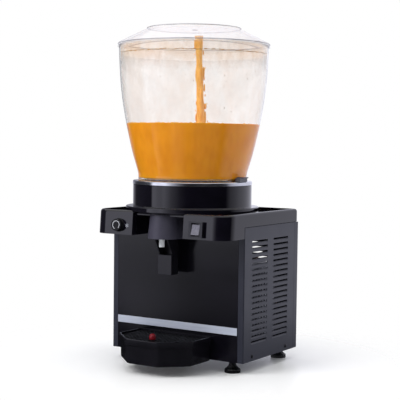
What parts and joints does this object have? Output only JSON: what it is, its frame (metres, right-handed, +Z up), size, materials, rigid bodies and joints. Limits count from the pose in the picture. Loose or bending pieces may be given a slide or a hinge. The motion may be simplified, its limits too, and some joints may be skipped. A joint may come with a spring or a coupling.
{
  "type": "refrigerated drink dispenser",
  "caption": "Countertop refrigerated drink dispenser with a clear round bowl, pump jet, push-lever tap, drip tray, louvred steel case and overhanging black top cover.",
  "frame": {"origin": "on the table, under the middle of the machine's whole box", "axes": "+Z up, -Y towards the user (the tap and drip tray), +X the machine's right as the user sees it"},
  "size_m": [0.343, 0.368, 0.735],
  "materials": {
    "gloss_black": "moulded, glossy",
    "satin_black": "moulded, satin",
    "dark_sheet": "smooth dark grey powder coat",
    "brushed_aluminium": "brushed",
    "stainless_steel": "polished",
    "galvanised_steel": "galvanised",
    "clear_plastic": "clear polycarbonate",
    "orange_drink": "cloudy orange drink",
    "white_plastic": "moulded, satin",
    "white_silicone": "soft silicone tube",
    "grey_plastic": "moulded, satin",
    "rubber": "black rubber",
    "copper": "bare copper pipe",
    "red_plastic": "moulded, glossy",
    "painted_black": "black enamel",
    "condenser_fins": "finned block",
    "foam": "insulating foam"
  },
  "bodies": {
    "case": {"base_pan": "galvanised_steel", "front_panel": "gloss_black", "side_panel_right": "dark_sheet", "side_panel_left": "dark_sheet", "back_panel": "dark_sheet", "trim_strip": "brushed_aluminium", "inner_frame": "galvanised_steel", "top_cover": "gloss_black", "tap_nose": "gloss_black", "collar": "gloss_black", "screw_right_front": "painted_black", "screw_left_front": "painted_black", "screw_right_back": "painted_black", "screw_left_back": "painted_black", "cooling_cup": "stainless_steel", "evaporator_coil": "copper", "insulation": "foam", "pump_motor": "painted_black", "pump_housing": "white_plastic", "spray_tube": "clear_plastic", "pinch_tube": "white_silicone", "lever_pin": "stainless_steel", "tap_bracket": "galvanised_steel", "lever_spring": "stainless_steel", "thermostat": "galvanised_steel", "switch_housing": "satin_black", "compressor": "painted_black", "compressor_mount_1": "rubber", "compressor_mount_2": "rubber", "compressor_mount_3": "rubber", "compressor_mount_4": "rubber", "condenser": "condenser_fins", "fan_shroud": "satin_black", "fan_motor": "painted_black", "filter_drier": "copper", "discharge_line": "copper", "liquid_line": "copper", "capillary_line": "copper", "control_box": "white_plastic", "power_inlet": "satin_black"},
    "bowl": {"bowl": "clear_plastic", "bowl_seal": "rubber", "bowl_lug_right": "grey_plastic", "bowl_lug_left": "grey_plastic", "drink": "orange_drink"},
    "lid": {"lid": "clear_plastic"},
    "lever": {"tap_lever": "satin_black"},
    "knob": {"thermostat_knob": "satin_black"},
    "rocker": {"rocker_key": "grey_plastic"},
    "tray": {"drip_tray": "gloss_black"},
    "grille": {"drip_grille": "satin_black"},
    "float": {"float_indicator": "red_plastic"},
    "magnet": {"drive_magnet": "galvanised_steel"},
    "impeller": {"impeller": "white_plastic"},
    "fan": {"fan_blades": "grey_plastic"},
    "foot_fl": {"foot_front_left": "rubber"},
    "foot_fr": {"foot_front_right": "rubber"},
    "foot_bl": {"foot_back_left": "rubber"},
    "foot_br": {"foot_back_right": "rubber"}
  },
  "joints": [
    {"name": "bowl_lift", "type": "slide", "parent": "case", "child": "bowl", "axis": [0, 0, 1], "range_m": [0, 0.15]},
    {"name": "lid_lift", "type": "slide", "parent": "bowl", "child": "lid", "axis": [0, 0, 1], "range_m": [0, 0.12]},
    {"name": "lever_push", "type": "hinge", "parent": "case", "child": "lever", "pos_m": [0, -0.094, 0.289], "axis": [1, 0, 0], "range_deg": [0, 10], "stiffness_Nm_per_rad": 0.6, "springref_deg": -17.19},
    {"name": "thermostat_turn", "type": "hinge", "parent": "case", "child": "knob", "pos_m": [-0.1004, -0.12857, 0.3069], "axis": [0, 0.9968, -0.0799], "range_deg": [0, 270]},
    {"name": "rocker_press", "type": "hinge", "parent": "case", "child": "rocker", "pos_m": [0.1004, -0.12758, 0.30682], "axis": [1, 0, 0], "range_deg": [0, 12]},
    {"name": "tray_slide", "type": "slide", "parent": "case", "child": "tray", "axis": [0, -1, 0], "range_m": [0, 0.12]},
    {"name": "grille_lift", "type": "slide", "parent": "tray", "child": "grille", "axis": [0, 0, 1], "range_m": [0, 0.06]},
    {"name": "float_rise", "type": "slide", "parent": "grille", "child": "float", "axis": [0, 0, 1], "range_m": [0, 0.008]},
    {"name": "magnet_spin", "type": "hinge", "parent": "case", "child": "magnet", "pos_m": [0, 0.0336, 0.34], "axis": [0, 0, 1], "continuous": true},
    {"name": "impeller_spin", "type": "hinge", "parent": "case", "child": "impeller", "pos_m": [0, 0.0336, 0.362], "axis": [0, 0, 1], "continuous": true},
    {"name": "fan_spin", "type": "hinge", "parent": "case", "child": "fan", "pos_m": [0.108, 0.058, 0.1322], "axis": [1, 0, 0], "continuous": true},
    {"name": "foot_fl_turn", "type": "hinge", "parent": "case", "child": "foot_fl", "pos_m": [-0.134, -0.0365, 0], "axis": [0, 0, 1], "continuous": true},
    {"name": "foot_fr_turn", "type": "hinge", "parent": "case", "child": "foot_fr", "pos_m": [0.134, -0.0365, 0], "axis": [0, 0, 1], "continuous": true},
    {"name": "foot_bl_turn", "type": "hinge", "parent": "case", "child": "foot_bl", "pos_m": [-0.134, 0.166, 0], "axis": [0, 0, 1], "continuous": true},
    {"name": "foot_br_turn", "type": "hinge", "parent": "case", "child": "foot_br", "pos_m": [0.134, 0.166, 0], "axis": [0, 0, 1], "continuous": true}
  ],
  "couplings": [
    {"joint": "impeller_spin", "follows": "magnet_spin", "ratio": 1}
  ]
}
